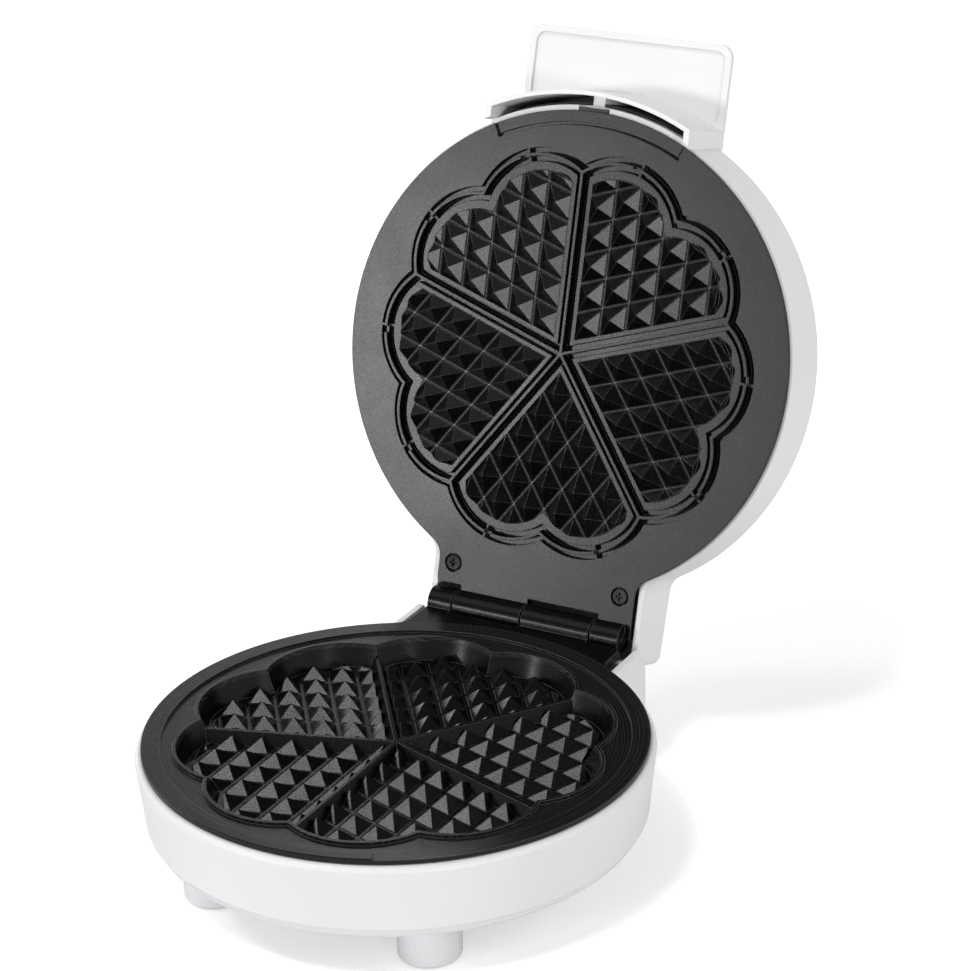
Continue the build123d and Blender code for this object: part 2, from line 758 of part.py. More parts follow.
def make_base_shell():
    """White base: drafted wall with an inward rim, hinge housing, trough, lugs and bosses."""
    drum, housing = base_form(0)
    drum = fillet(drum.edges().sort_by(Axis.Z)[-1], base_rim_round)
    shell = drum + housing
    inner_drum, inner_housing = base_form(base_wall)
    ceiling = disc(2 * base_rim_r, base_rim_z - base_wall, 0)
    shell -= inner_drum - ceiling
    shell -= inner_housing
    shell -= disc(base_opening_r, base_rim_z - base_wall, base_rim_z)

    inner_half = housing_half - base_wall
    rear = housing_rear_y + base_wall
    above_deck = [
        (0, base_rim_z + base_wall),
        (rear, base_rim_z + base_wall),
        (rear, deck_z(rear, 0)),
        (trough_front_y + base_wall, deck_z(trough_front_y + base_wall, 0)),
        (trough_front_y + base_wall, -body_t - hinge_air),
        (0, -body_t - hinge_air),
    ]
    shell -= across(above_deck, inner_half)
    trough = [
        (trough_front_y, -body_t - hinge_air),
        (trough_front_y + base_wall, -body_t - hinge_air),
        (trough_front_y + base_wall, deck_z(trough_front_y + base_wall, 0)),
        (housing_rear_y - base_wall / 2, deck_z(housing_rear_y - base_wall / 2, 0)),
        (housing_rear_y - base_wall / 2, deck_z(housing_rear_y - base_wall / 2, base_wall)),
        (trough_front_y, deck_z(trough_front_y, base_wall)),
    ]
    shell += across(trough, inner_half) & housing
    slot_y = hinge_y - barrel_r / 2
    half_slot = lead_slot_w / 2
    slot = slab((-lead_slot_half, lead_slot_half), (slot_y - half_slot, slot_y + half_slot), (base_edge_z, base_rim_z))
    shell -= slot - drum

    lug_top = -body_t - post_length
    for x, y in lower_post_places():
        angle = degrees(atan(y / x)) + (180 if x < 0 else 0)
        lug = slab(
            (post_orbit - lug_half_width, base_rim_r), (-lug_half_width, lug_half_width), (lug_top - lug_t, lug_top)
        )
        shell += (Rot(0, 0, angle) * lug) & drum
        shell -= peg(x, y, small_shank_r + contact_gap, lug_top - lug_t, lug_top)

    boss_top = lower_reflector_z() - reflector_t - hinge_air
    for side in (-1, 1):
        x, y = side * front_foot_x, front_foot_y
        reach = sqrt(x**2 + y**2)
        rib = slab((reach, base_rim_r), (-base_wall / 2, base_wall / 2), (base_edge_z, boss_top))
        shell += (Rot(0, 0, degrees(atan(y / x)) + (180 if x < 0 else 0)) * rib) & drum
        shell += peg(x, y, boss_r, base_edge_z, boss_top)
        shell -= peg(x, y, pilot_r, base_edge_z, boss_top)
        x, y = side * rear_foot_x, rear_foot_y
        ends = sorted((x, side * (housing_half - base_wall / 2)))
        shell += slab(ends, (y - base_wall / 2, y + base_wall / 2), (base_edge_z, boss_top))
        shell += peg(x, y, boss_r, base_edge_z, boss_top)
        shell -= peg(x, y, pilot_r, base_edge_z, boss_top)
    hole_z = housing_shoulder_z - cord_hole_drop
    hole = Pos(0, housing_rear_y - 2 * base_wall, hole_z) * Rot(-90, 0, 0) * disc(cord_hole_r, 0, 4 * base_wall)
    return shell - hole


def cover_outline(inset):
    """Bottom cover seen from above: the base's outline, set in a step from its edge."""
    half = housing_half - cover_step - inset
    rear = housing_rear_y - cover_step - inset
    box = Pos(0, rear / 2) * Rectangle(2 * half, rear)
    box = fillet([v for v in box.vertices() if v.Y > rear / 2], housing_corner_r - inset / 4)
    return Circle(base_edge_r - cover_step - inset) + box


def make_bottom_cover():
    """Shallow cover under the base, with a locating rim, screw holes and vent slots."""
    cover = prism(cover_outline(0), cover_bottom_z, base_edge_z)
    cover = fillet(cover.faces().sort_by(Axis.Z)[0].edges(), cover_round)
    inset = base_wall - cover_step + cover_locating_gap
    rim = cover_outline(inset) - cover_outline(inset + cover_wall)
    cover -= prism(cover_outline(inset + cover_wall), cover_bottom_z + cover_wall, base_edge_z)
    cover += prism(rim, base_edge_z, base_edge_z + cover_locating_rise)
    for side in (-1, 1):
        x, y = side * front_foot_x, front_foot_y
        reach = sqrt(x**2 + y**2)
        clear = slab(
            (reach, base_rim_r), (-base_wall, base_wall), (base_edge_z, base_edge_z + cover_locating_rise)
        )
        cover -= Rot(0, 0, degrees(atan(y / x)) + (180 if x < 0 else 0)) * clear
        y = rear_foot_y
        ends = sorted((side * rear_foot_x, side * housing_half))
        cover -= slab(ends, (y - base_wall, y + base_wall), (base_edge_z, base_edge_z + cover_locating_rise))
    for x, y in foot_places():
        cover += peg(x, y, boss_r, cover_bottom_z, base_edge_z)
        cover -= peg(x, y, foot_screw_shank_r + contact_gap, cover_bottom_z, base_edge_z)
    slot = SlotOverall(vent_length, vent_width)
    for row in range(vent_rows):
        y = (row - (vent_rows - 1) / 2) * vent_pitch
        cover -= prism(Pos(0, y) * slot, cover_bottom_z, cover_bottom_z + cover_wall)
    return cover


def foot_places():
    """The four feet, front pair first."""
    front = [(side * front_foot_x, front_foot_y) for side in (-1, 1)]
    rear = [(side * rear_foot_x, rear_foot_y) for side in (-1, 1)]
    return front + rear


def make_foot():
    """Round foot with a rounded lower edge, a screw well and a seat for its pad."""
    low = cover_bottom_z - foot_height
    foot = disc(foot_r, low, cover_bottom_z)
    foot = fillet(foot.edges().sort_by(Axis.Z)[0], foot_round)
    foot -= disc(pad_r, low, low + pad_t - pad_proud)
    foot -= disc(foot_screw_head_r + hinge_air, low, cover_bottom_z - foot_screw_seat)
    return foot - disc(foot_screw_shank_r + contact_gap, low, cover_bottom_z)


def make_pad():
    """Rubber disc that closes a foot's screw well and stands on the table."""
    low = floor_z
    return disc(pad_r - contact_gap, low, low + pad_t)


def group(part, places):
    """Identical parts at several places, as separate solids of one node."""
    return Compound([Pos(x, y, 0) * solid for x, y in places for solid in part.solids()])


# ---------------------------------------------------------------- controls in the base


def make_fuse():
    """Thermal fuse in its heat-proof sleeve, lying under the reflector."""
    z = lower_reflector_z() - reflector_t - fuse_r - contact_gap
    return Pos(-fuse_length / 2, fuse_y, z) * Rot(0, 90, 0) * disc(fuse_r, 0, fuse_length)


def make_fuse_clip():
    """Sheet strap that holds the fuse's sleeve against the reflector."""
    top = lower_reflector_z() - reflector_t
    outer = fuse_r + contact_gap + fuse_strap_t
    foot_half = 3 * outer
    z = top - fuse_r - contact_gap
    half_w = fuse_strap_w / 2
    saddle = Pos(-half_w, fuse_y, z) * Rot(0, 90, 0) * disc(outer, 0, fuse_strap_w)
    saddle += slab((-half_w, half_w), (fuse_y - outer, fuse_y + outer), (z, top))
    saddle += slab((-half_w, half_w), (fuse_y - foot_half, fuse_y + foot_half), (top - fuse_strap_t, top))
    saddle -= slab((-half_w, half_w), (fuse_y - outer, fuse_y + outer), (top, top + outer))
    well = fuse_r + contact_gap
    saddle -= Pos(-half_w, fuse_y, z) * Rot(0, 90, 0) * disc(well, 0, fuse_strap_w)
    return saddle - slab((-half_w, half_w), (fuse_y - well, fuse_y + well), (z, top))


def make_terminal_block():
    """Two-pole terminal block on the bottom cover, behind the plate."""
    width, depth, height = block_size
    low = cover_bottom_z + cover_wall
    block = slab((-width / 2, width / 2), (block_y - depth / 2, block_y + depth / 2), (low, low + height))
    for side in (-1, 1):
        x = side * block_bore_pitch / 2
        wire_way = Pos(x, block_y - depth / 2, low + height / 2) * Rot(-90, 0, 0) * disc(block_bore_r, 0, depth)
        block -= wire_way
        block -= peg(x, block_y, block_bore_r, low + height / 2, low + height)
    return block


# ---------------------------------------------------------------- assembly


def base_parts():
    """Everything that stands still."""
    lower_plate_screws = screw(small_head_r, small_head_t, small_shank_r - contact_gap, lug_t + post_length / 2)
    seat_z = -body_t - post_length - lug_t
    reflector_z = lower_reflector_z() - reflector_t
    clamp_screw = screw(small_head_r, small_head_t, pilot_r, reflector_screw_length)
    stat_screw = screw(small_head_r, small_head_t, small_shank_r, thermostat_ear_t + pan_floor_t / 3)
    stat_z = pan_bottom_z - contact_gap - thermostat_ear_t
    stat_x = thermostat_ear_half - small_head_r
    foot_screw = screw(foot_screw_head_r, foot_screw_head_t, pilot_r, foot_screw_length - foot_screw_seat)
    foot = make_foot()
    feet = foot_places()
    return {
        "base_shell": make_base_shell(),
        "bottom_cover": make_bottom_cover(),
        "front_feet": group(foot, feet[:2]),
        "rear_feet": group(foot, feet[2:]),
        "foot_pads": group(make_pad(), feet),
        "foot_screws": group(Pos(0, 0, cover_bottom_z - foot_screw_seat) * foot_screw, feet),
        "lower_plate": make_lower_plate(),
        "lower_plate_screws": group(Pos(0, 0, seat_z) * lower_plate_screws, lower_post_places()),
        "lower_heater": make_heater(pan_bottom_z - contact_gap - heater_r),
        "lower_reflector": make_reflector(reflector_z),
        "lower_reflector_screws": group(Pos(0, 0, reflector_z) * clamp_screw, reflector_post_places()),
        "thermostat": make_thermostat(),
        "thermostat_screws": group(Pos(0, 0, stat_z) * stat_screw, [(-stat_x, 0), (stat_x, 0)]),
        "thermal_fuse": make_fuse(),
        "fuse_clip": make_fuse_clip(),
        "terminal_block": make_terminal_block(),
        "hinge_pin": barrel(knuckle_ends[0] + pin_end_setback, knuckle_ends[-1] - pin_end_setback, pin_r),
    }


def lid_parts():
    """Everything that swings, drawn closed."""
    reflector_z = upper_reflector_z()
    down = Rot(180, 0, 0)
    clamp_screw = down * screw(small_head_r, small_head_t, pilot_r, reflector_screw_length)
    plate_screw = screw(plate_screw_head_r, plate_screw_head_t, pilot_r, plate_screw_length)
    head_z = upper_face_z + plate_screw_head_t
    screw_places = [(-plate_screw_x, plate_screw_y), (plate_screw_x, plate_screw_y)]
    lens = make_lens()
    lamp_top = lens_under_z() - lens_flange_t - contact_gap
    lamp = disc(lamp_r, lamp_top - lamp_length + 2 * contact_gap, lamp_top)
    lamp_places = [(-lens_spacing / 2, lens_y), (lens_spacing / 2, lens_y)]
    return {
        "lid_shell": make_lid_shell(),
        "lip_guard": make_lip_guard(),
        "upper_plate": make_upper_plate(),
        "upper_plate_screws": group(Pos(0, 0, head_z) * plate_screw, screw_places),
        "upper_heater": make_heater(upper_back_z + contact_gap + heater_r),
        "upper_reflector": make_reflector(reflector_z),
        "upper_reflector_screws": group(Pos(0, 0, reflector_z + reflector_t) * clamp_screw, reflector_post_places()),
        "power_lens": group(lens, lamp_places[:1]),
        "ready_lens": group(lens, lamp_places[1:]),
        "lamp_holder": make_lamp_holder(),
        "lamps": group(lamp, lamp_places),
    }


def main():
    """Builds the closed waffle maker, opens its lid, stands it on its feet and writes it out."""
    hinge = Pos(0, hinge_y, hinge_z)
    opened = hinge * Rot(-open_angle, 0, 0) * hinge.inverse()
    parts = base_parts()
    parts.update(moved_all(lid_parts(), opened))
    box = Compound([solid for part in parts.values() for solid in part.solids()]).bounding_box()
    middle_y = (box.min.Y + box.max.Y) / 2
    parts = moved_all(parts, Pos(0, -middle_y, -floor_z))
    os.makedirs("parts", exist_ok=True)
    for name, part in parts.items():
        export_step(Compound(part.solids()), f"parts/{name}.step")
    print("hinge axis at y", round(hinge_y - middle_y, 3), "z", round(hinge_z - floor_z, 3))
    print("box", box.size)


main()
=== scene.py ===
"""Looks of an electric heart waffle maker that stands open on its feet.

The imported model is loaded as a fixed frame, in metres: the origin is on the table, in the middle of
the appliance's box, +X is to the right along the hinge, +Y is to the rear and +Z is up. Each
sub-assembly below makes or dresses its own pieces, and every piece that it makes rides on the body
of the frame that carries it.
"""

from __future__ import annotations

import logging
from abc import ABC, abstractmethod
from collections.abc import Mapping
from dataclasses import dataclass
from enum import Enum
from math import cos, hypot, pi, radians, sin

import bmesh
import bpy
from mathutils import Euler, Matrix, Vector


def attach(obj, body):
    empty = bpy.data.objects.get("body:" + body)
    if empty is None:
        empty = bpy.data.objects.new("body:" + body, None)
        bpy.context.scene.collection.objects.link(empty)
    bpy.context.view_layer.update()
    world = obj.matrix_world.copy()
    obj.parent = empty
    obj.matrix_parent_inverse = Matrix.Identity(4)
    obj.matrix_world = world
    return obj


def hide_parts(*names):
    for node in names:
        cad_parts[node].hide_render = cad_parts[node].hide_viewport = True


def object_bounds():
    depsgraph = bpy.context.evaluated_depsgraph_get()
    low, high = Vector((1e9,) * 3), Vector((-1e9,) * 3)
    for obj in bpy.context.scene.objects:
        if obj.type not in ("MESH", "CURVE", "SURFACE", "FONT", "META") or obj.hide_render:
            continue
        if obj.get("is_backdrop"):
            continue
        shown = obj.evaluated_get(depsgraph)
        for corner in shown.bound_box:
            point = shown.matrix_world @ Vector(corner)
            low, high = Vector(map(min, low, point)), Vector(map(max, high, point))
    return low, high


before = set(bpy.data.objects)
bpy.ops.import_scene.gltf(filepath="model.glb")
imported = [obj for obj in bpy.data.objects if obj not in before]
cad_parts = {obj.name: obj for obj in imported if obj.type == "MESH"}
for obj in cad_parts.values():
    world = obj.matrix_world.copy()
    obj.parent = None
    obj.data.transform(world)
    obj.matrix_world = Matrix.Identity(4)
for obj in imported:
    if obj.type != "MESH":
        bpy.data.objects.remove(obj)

log = logging.getLogger("waffle_maker")

Colour = tuple[float, float, float]
Point = tuple[float, float, float]

MM = 0.001
WHITE: Colour = (1.0, 1.0, 1.0)
PLATES_CENTRE = Vector((0.0, -52.583, 50.6)) * MM
# From the plates' centre: the hinge's axis, and the face of each plate when the lid is shut.
HINGE_OFFSET = Vector((0.0, 106.7 * MM, 0.25 * MM))
LOWER_FACE = Vector((0.0, 0.0, -8.46 * MM))
UPPER_FACE = Vector((0.0, 0.0, 0.5 * MM))
LID_ANGLE = radians(106.4)


class Body(Enum):
    """Moving bodies of the frame."""

    BASE = "base"
    LID = "lid"


# ---------------------------------------------------------------------------- node trees


class Signal:
    """Output socket of a node tree that can be used in arithmetic."""

    def __init__(self, bench: Bench, socket: bpy.types.NodeSocket) -> None:
        """Keeps the socket with the bench that its tree is built on.

        Args:
            bench: Bench of the socket's tree.
            socket: Output socket.
        """
        self.bench = bench
        self.socket = socket

    def __add__(self, other: Signal | float) -> Signal:
        """Sum of this and another number."""
        return self.bench.maths("ADD", self, other)

    __radd__ = __add__

    def __sub__(self, other: Signal | float) -> Signal:
        """This less another number."""
        return self.bench.maths("SUBTRACT", self, other)

    def __rsub__(self, other: float) -> Signal:
        """A number less this."""
        return self.bench.maths("SUBTRACT", other, self)

    def __mul__(self, other: Signal | float) -> Signal:
        """Product of this and another number."""
        return self.bench.maths("MULTIPLY", self, other)

    def __truediv__(self, other: Signal | float) -> Signal:
        """This divided by another number."""
        return self.bench.maths("DIVIDE", self, other)

    def __pow__(self, other: float) -> Signal:
        """This raised to a power."""
        return self.bench.maths("POWER", self, other)

    def above(self, limit: Signal | float) -> Signal:
        """One where this is greater than a limit, and nought elsewhere."""
        return self.bench.maths("GREATER_THAN", self, limit)

    def spread(self, low: float, high: float, to_low: float = 0.0, to_high: float = 1.0) -> Signal:
        """This, with one range of numbers laid over another and clamped to it.

        Args:
            low: Number that becomes to_low.
            high: Number that becomes to_high.
            to_low: Result at the low end.
            to_high: Result at the high end.

        Returns:
            The mapped number.
        """
        ends = {"Value": self, "From Min": low, "From Max": high, "To Min": to_low, "To Max": to_high}
        return self.bench.node("ShaderNodeMapRange", {"clamp": True}, ends)


class Bench:
    """Node tree that is being built."""

    def __init__(self, tree: bpy.types.NodeTree) -> None:
        """Starts with an empty tree.

        Args:
            tree: Tree to build in; its nodes are removed first.
        """
        self.tree = tree
        tree.nodes.clear()

    def node(
        self,
        kind: str,
        settings: Mapping[str, object],
        sockets: Mapping[str | int, object],
        output: str | int = 0,
    ) -> Signal:
        """Adds one node.

        Args:
            kind: Type of the node.
            settings: Values of the node's own properties, set first.
            sockets: Values or signals for the inputs, by identifier, name or index.
            output: Identifier, name or index of the output that is wanted.

        Returns:
            The wanted output.
        """
        made = self.tree.nodes.new(kind)
        for key, value in settings.items():
            setattr(made, key, value)
        for key, value in sockets.items():
            self.feed(self._find(made.inputs, key), value)
        return Signal(self, self._find(made.outputs, output))

    def feed(self, socket: bpy.types.NodeSocket, value: object) -> None:
        """Links a signal to an input, or sets the input's own value.

        Args:
            socket: Input socket.
            value: Signal, number, colour or vector.
        """
        if isinstance(value, Signal):
            self.tree.links.new(value.socket, socket)
        elif getattr(socket, "type", "") == "RGBA" and len(value) == 3:
            socket.default_value = (*value, 1.0)
        else:
            socket.default_value = value

    def maths(self, operation: str, *values: Signal | float) -> Signal:
        """One Math node on signals or numbers."""
        return self.node("ShaderNodeMath", {"operation": operation}, dict(enumerate(values)))

    def vector(self, x: Signal | float, y: Signal | float, z: Signal | float) -> Signal:
        """Vector from its three parts."""
        return self.node("ShaderNodeCombineXYZ", {}, {"X": x, "Y": y, "Z": z})

    @staticmethod
    def _find(sockets: bpy.types.NodeInputs, key: str | int) -> bpy.types.NodeSocket:
        """Looks a socket up.

        Args:
            sockets: Inputs or outputs of a node.
            key: Index, identifier or name of the socket.

        Returns:
            The socket.
        """
        if isinstance(key, int):
            return sockets[key]
        for socket in sockets:
            if socket.identifier == key:
                return socket
        return sockets[key]


class PaintBench(Bench):
    """Shader tree that is being built."""

    # Heights about a turned face that still belong to it, in metres.
    TURNED_BAND = (-1.5 * MM, 0.2 * MM)
    # How far a softened normal has to turn before an edge's painted highlight starts, and is full.
    EDGE_RANGE = (0.02, 0.22)
    EDGE_SAMPLES = 6

    def blend(self, share: Signal | float, first: Signal | Colour, second: Signal | Colour) -> Signal:
        """Mixes two colours.

        Args:
            share: Share of the second colour.
            first: Colour at nought.
            second: Colour at one.

        Returns:
            The mixed colour.
        """
        sockets = {"Factor_Float": share, "A_Color": first, "B_Color": second}
        return self.node("ShaderNodeMix", {"data_type": "RGBA"}, sockets, "Result_Color")

    def along(self, scale: float | Point, place: Point = (0.0, 0.0, 0.0)) -> Signal:
        """Object coordinates, scaled about a place.

        Args:
            scale: Scale, the same all round or along each axis.
            place: Point that the pattern is centred on, in metres.

        Returns:
            The coordinates.
        """
        coordinates = self.node("ShaderNodeTexCoord", {}, {}, "Object")
        factors = (scale, scale, scale) if isinstance(scale, (int, float)) else scale
        middle = tuple(-factor * part for factor, part in zip(factors, place))
        sockets = {"Vector": coordinates, "Scale": factors, "Location": middle}
        return self.node("ShaderNodeMapping", {}, sockets)

    def noise(self, scale: float, detail: float = 2.0, roughness: float = 0.5) -> Signal:
        """Cloudy noise on Object coordinates.

        Args:
            scale: Features to the metre.
            detail: Number of finer layers.
            roughness: Strength of the finer layers.

        Returns:
            Noise between nought and one.
        """
        sockets = {"Vector": self.along(1.0), "Scale": scale, "Detail": detail, "Roughness": roughness}
        return self.node("ShaderNodeTexNoise", {}, sockets)

    def turned(self, place: Point, pitch: float, reach: float) -> tuple[Signal, Signal]:
        """Streaks that run in circles about an upright axis, as a lathe leaves them.

        Args:
            place: Point on the axis, in metres.
            pitch: Distance between streaks, in metres.
            reach: Largest radius that was turned, in metres.

        Returns:
            Streaks between nought and one, and a mask of the turned face near the place's height.
        """
        coordinates = self.along(1.0, place)
        x, y, z = (self.node("ShaderNodeSeparateXYZ", {}, {0: coordinates}, axis) for axis in "XYZ")
        radius = (x * x + y * y) ** 0.5
        bottom, top = self.TURNED_BAND
        face = z.above(bottom) * (1 - z.above(top)) * (1 - radius.above(reach))
        sockets = {"W": radius / pitch, "Scale": 1.0, "Detail": 3.0, "Roughness": 0.6}
        return self.node("ShaderNodeTexNoise", {"noise_dimensions": "1D"}, sockets), face

    def bump(
        self,
        height: Signal,
        depth: float,
        strength: float = 1.0,
        normal: Signal | None = None,
    ) -> Signal:
        """Normal bent by a height.

        Args:
            height: Height between nought and one.
            depth: Depth in metres that a height of one stands for.
            strength: Strength of the whole.
            normal: Normal to start from, if not the surface's own.

        Returns:
            The bent normal.
        """
        sockets: dict[str | int, object] = {"Height": height, "Distance": depth, "Strength": strength}
        if normal is not None:
            sockets["Normal"] = normal
        return self.node("ShaderNodeBump", {}, sockets)

    def softened(self, radius: float) -> Signal:
        """Normal that is rounded across edges, with a radius in metres."""
        return self.node("ShaderNodeBevel", {"samples": self.EDGE_SAMPLES}, {"Radius": radius})

    def edge_highlight(self, radius: float) -> tuple[Signal, Signal]:
        """Softened normal of an edge, and where that edge is, for a highlight painted along it.

        Args:
            radius: Radius of the softening, in metres.

        Returns:
            The softened normal, and a mask that is one on an edge, where the highlight is painted.
        """
        soft = self.softened(radius)
        plain = self.node("ShaderNodeNewGeometry", {}, {}, "Normal")
        product = {"operation": "DOT_PRODUCT"}
        match = self.node("ShaderNodeVectorMath", product, {0: soft, 1: plain}, "Value")
        return soft, (1 - match).spread(*self.EDGE_RANGE)


class SizedInput(Enum):
    """Kinds of input that a geometry tree takes."""

    LENGTH = "NodeSocketFloat"
    COUNT = "NodeSocketInt"
    COATING = "NodeSocketMaterial"


class ShapeBench(Bench):
    """Geometry tree that is being built, with named inputs for its sizes."""

    def __init__(self, name: str, inputs: Mapping[str, SizedInput]) -> None:
        """Starts a tree with a geometry socket at each end.

        Args:
            name: Name of the tree.
            inputs: Kind of each named input.
        """
        tree = bpy.data.node_groups.new(name, "GeometryNodeTree")
        super().__init__(tree)
        tree.is_modifier = True
        tree.interface.new_socket("Shape", in_out="INPUT", socket_type="NodeSocketGeometry")
        for label, kind in inputs.items():
            tree.interface.new_socket(label, in_out="INPUT", socket_type=kind.value)
        tree.interface.new_socket("Shape", in_out="OUTPUT", socket_type="NodeSocketGeometry")
        self.start = tree.nodes.new("NodeGroupInput")
        self.end = tree.nodes.new("NodeGroupOutput")

    def given(self, name: str) -> Signal:
        """Value that the modifier gives to a named input."""
        return Signal(self, self.start.outputs[name])

    def step(
        self,
        kind: str,
        shape: Signal,
        sockets: Mapping[str | int, object] | None = None,
        **settings: object,
    ) -> Signal:
        """Passes a shape through one node, in at its first socket and out at its first.

        Args:
            kind: Type of the node.
            shape: Shape that goes in.
            sockets: Values or signals for the other inputs.
            **settings: Values of the node's own properties.

        Returns:
            The shape that comes out.
        """
        return self.node(kind, settings, {0: shape, **(sockets or {})})

    def overlap(self, operation: str, *shapes: Signal) -> Signal:
        """Joins closed shapes, or keeps what they share.

        Args:
            operation: UNION or INTERSECT.
            *shapes: Closed shapes.

        Returns:
            The new shape.
        """
        made = self.node("GeometryNodeMeshBoolean", {"operation": operation, "solver": "MANIFOLD"}, {})
        for shape in shapes:
            self.tree.links.new(shape.socket, made.socket.node.inputs["Mesh 2"])
        return made

    def finish(self, shape: Signal, coating: str) -> None:
        """Ends the tree in real geometry with one material.

        Args:
            shape: Shape that the tree has made.
            coating: Name of the material's input.
        """
        real = self.step("GeometryNodeRealizeInstances", shape)
        coated = self.step("GeometryNodeSetMaterial", real, {"Material": self.given(coating)})
        self.feed(self.end.inputs[0], coated)

    def applied(self, mesh: bpy.types.Mesh, values: Mapping[str, object]) -> bpy.types.Mesh:
        """Plain mesh that the tree makes of a mesh.

        Args:
            mesh: Mesh that goes in.
            values: Value of every named input.

        Returns:
            The new mesh.
        """
        carrier = bpy.data.objects.new(self.tree.name, mesh)
        bpy.context.scene.collection.objects.link(carrier)
        modifier = carrier.modifiers.new(self.tree.name, "NODES")
        modifier.node_group = self.tree
        for item in self.tree.interface.items_tree:
            if item.in_out == "INPUT" and item.name in values:
                modifier[item.identifier] = values[item.name]
        seen = carrier.evaluated_get(bpy.context.evaluated_depsgraph_get())
        made = bpy.data.meshes.new_from_object(seen)
        # A mesh that came in without a material leaves an empty slot before the tree's own.
        if len(made.materials) > 1 and made.materials[0] is None:
            made.materials.pop(index=0)
        carrier.modifiers.remove(modifier)
        bpy.data.objects.remove(carrier)
        return made


# ---------------------------------------------------------------------------- finishes


@dataclass(frozen=True)
class Finish(ABC):
    """Surface finish: one material that every piece with the finish shares."""

    label: str

    def material(self) -> bpy.types.Material:
        """The finish's material, made when it is first asked for.

        Returns:
            The material.
        """
        made = bpy.data.materials.get(self.label)
        if made is None:
            made = bpy.data.materials.new(self.label)
            made.use_nodes = True
            bench = PaintBench(made.node_tree)
            self._show(bench, self.surface(bench))
        return made

    @staticmethod
    def _show(bench: PaintBench, surface: Signal) -> None:
        """Links a shader to the material's output."""
        output = bench.tree.nodes.new("ShaderNodeOutputMaterial")
        bench.feed(output.inputs["Surface"], surface)

    def surface(self, bench: PaintBench) -> Signal:
        """The finish's shader."""
        return bench.node("ShaderNodeBsdfPrincipled", {}, self.sockets(bench))

    @abstractmethod
    def sockets(self, bench: PaintBench) -> dict[str | int, object]:
        """Values and signals for the principled shader.

        Args:
            bench: Bench of the material's tree.

        Returns:
            Inputs of the shader, by name.
        """


@dataclass(frozen=True)
class NonStick(Finish):
    """Sprayed non-stick coating on cast aluminium: near black, with fine pale flecks."""

    label: str
    dark: Colour = (0.0015, 0.0015, 0.0017)
    light: Colour = (0.012, 0.012, 0.013)
    # Paler colour on the edges: a painted highlight.
    edge: Colour = (0.13, 0.13, 0.135)
    grain: float = 1500.0
    grain_depth: float = 0.000014
    edge_radius: float = 0.0004
    grain_strength: float = 0.8
    specks: tuple[float, float] = (0.5, 0.75)
    grain_gloss: float = 0.12
    cloud: float = 34.0
    cloud_gloss: float = 0.08
    edge_gloss: float = 0.05
    specular: float = 0.155
    roughness: float = 0.155
    turned_depth: float = 0.0
    # Paler colour laid on the turned rim's streaks: a painted sheen.
    turned_sheen_colour: Colour = (0.03, 0.03, 0.032)
    turned_pitch: float = 0.5 * MM
    turned_reach: float = 95.0 * MM
    turned_sheen_range: tuple[float, float] = (0.35, 0.75)

    def sockets(self, bench: PaintBench) -> dict[str | int, object]:
        """Coating with grain and flecks, a highlight painted paler on its edges and a sheen painted on
        a turned rim.

        Args:
            bench: Bench of the material's tree.

        Returns:
            Inputs of the shader, by name.
        """
        grain = bench.noise(self.grain, detail=3.0, roughness=0.65)
        cloud = bench.noise(self.cloud)
        soft, edge = bench.edge_highlight(self.edge_radius)
        body = bench.blend(grain.spread(*self.specks), self.dark, self.light)
        normal = bench.bump(grain, self.grain_depth, self.grain_strength, soft)
        roughness = self.roughness + grain * self.grain_gloss + cloud * self.cloud_gloss
        if self.turned_depth:
            streaks, rim = bench.turned(PLATES_CENTRE, self.turned_pitch, self.turned_reach)
            normal = bench.bump(streaks * rim, self.turned_depth, normal=normal)
            # The rim's streaks are painted paler: a painted sheen over real lathe streaks, which also
            # bend the normal.
            sheen_streaks = streaks.spread(*self.turned_sheen_range) * rim
            body = bench.blend(sheen_streaks, body, self.turned_sheen_colour)
        return {
            # Edges are painted paler: a painted highlight.
            "Base Color": bench.blend(edge, body, self.edge),
            "Roughness": roughness - edge * self.edge_gloss,
            "Specular IOR Level": self.specular,
            "Normal": normal,
        }


@dataclass(frozen=True)
class Moulded(Finish):
    """Injection-moulded plastic with a faint ripple and a little change of gloss."""

    label: str
    colour: Colour = (0.8, 0.805, 0.815)
    gloss: float = 0.35
    ripple: float = 260.0
    ripple_depth: float = 0.00002
    texture: float = 0.0
    texture_depth: float = 0.0
    texture_gloss: float = 0.15
    edge_radius: float = 0.0005
    ripple_gloss: float = 0.04
    cloud: float = 22.0
    clouds: tuple[float, float] = (0.3, 0.7)
    cloud_share: float = 0.5
    cloud_gloss: float = 0.06
    shading: float = 0.985

    def sockets(self, bench: PaintBench) -> dict[str | int, object]:
        """Plastic with ripple, and with an eroded texture over it where one is set.

        Args:
            bench: Bench of the material's tree.

        Returns:
            Inputs of the shader, by name.
        """
        ripple = bench.noise(self.ripple)
        cloud = bench.noise(self.cloud, detail=3.0)
        darker = tuple(part * self.shading for part in self.colour)
        share = cloud.spread(*self.clouds) * self.cloud_share
        shade = bench.blend(share, self.colour, darker)
        normal = bench.bump(ripple, self.ripple_depth, normal=bench.softened(self.edge_radius))
        roughness = self.gloss + cloud * self.cloud_gloss + ripple * self.ripple_gloss
        if self.texture:
            erosion = bench.noise(self.texture, roughness=0.6)
            normal = bench.bump(erosion, self.texture_depth, normal=normal)
            roughness = roughness + erosion * self.texture_gloss
        return {"Base Color": shade, "Roughness": roughness, "Normal": normal}


